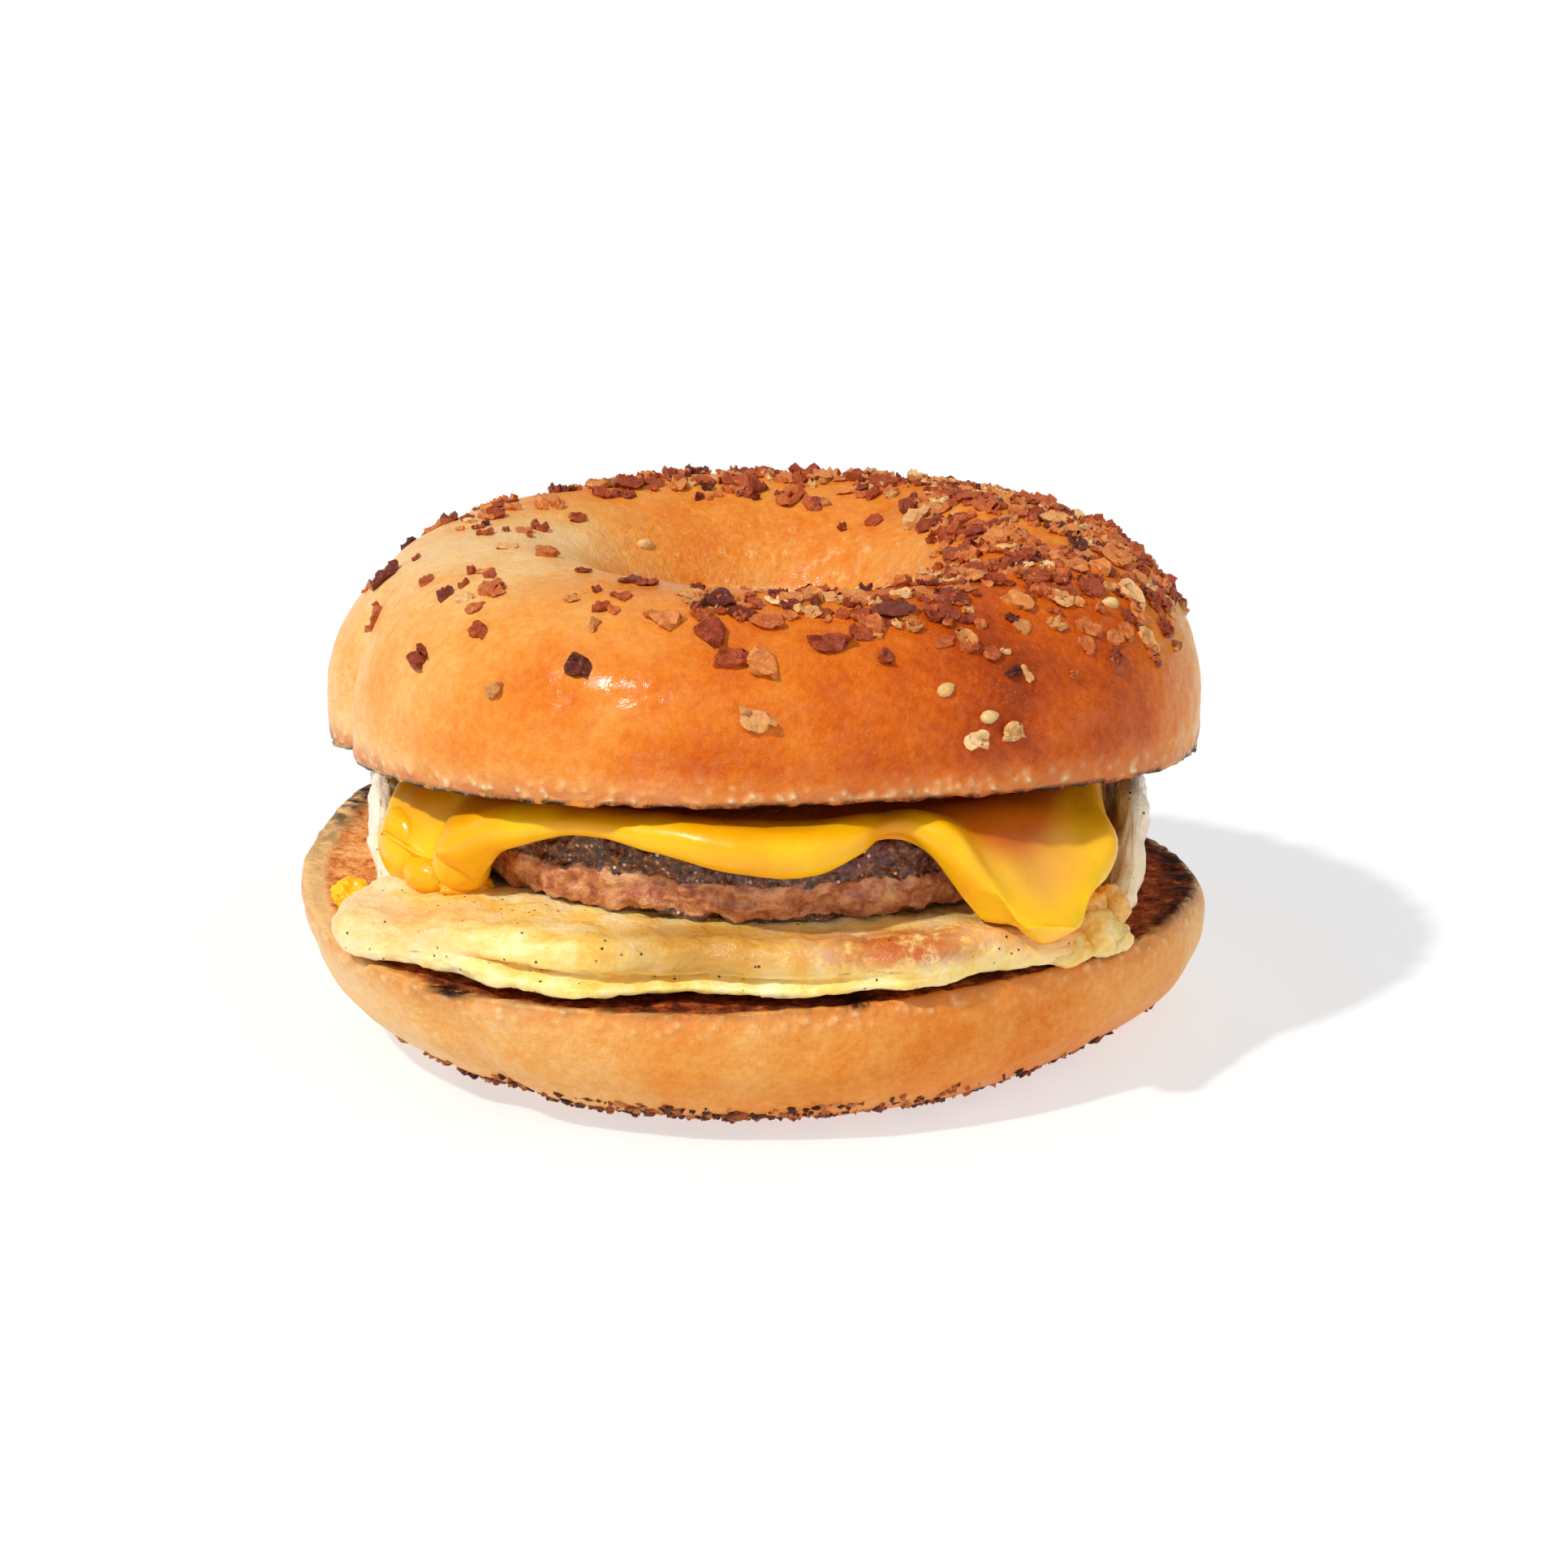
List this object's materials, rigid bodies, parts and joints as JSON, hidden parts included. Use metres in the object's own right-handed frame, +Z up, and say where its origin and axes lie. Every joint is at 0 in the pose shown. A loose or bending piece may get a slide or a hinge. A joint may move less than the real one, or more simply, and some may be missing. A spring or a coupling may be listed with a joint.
{
  "type": "bagel sandwich",
  "caption": "Toasted bagel breakfast sandwich: folded egg, sausage patty and melted cheese between two bagel halves, onion flakes and seeds baked on the crown.",
  "frame": {"origin": "middle of the bounding box at the level the heel rests on", "axes": "+Z up through the bagel's holes, -Y towards the open front of the filling where the cheese hangs, +X to the right seen from the front"},
  "size_m": [0.1148, 0.1133, 0.0648],
  "materials": {
    "heel_bread": "toasted bread crust with a browned cut face, soft sheen",
    "crown_bread": "golden brown bread crust with baked onion flakes and seeds, soft sheen",
    "egg": "cooked folded egg, moist and satin",
    "sausage": "griddled ground meat, coarse and greasy",
    "cheese": "melted cheese, smooth and glossy"
  },
  "bodies": {
    "root": {"bagel_heel": "heel_bread", "bagel_crown": "crown_bread", "egg": "egg", "sausage_patty": "sausage", "cheese_slice": "cheese"}
  },
  "joints": []
}
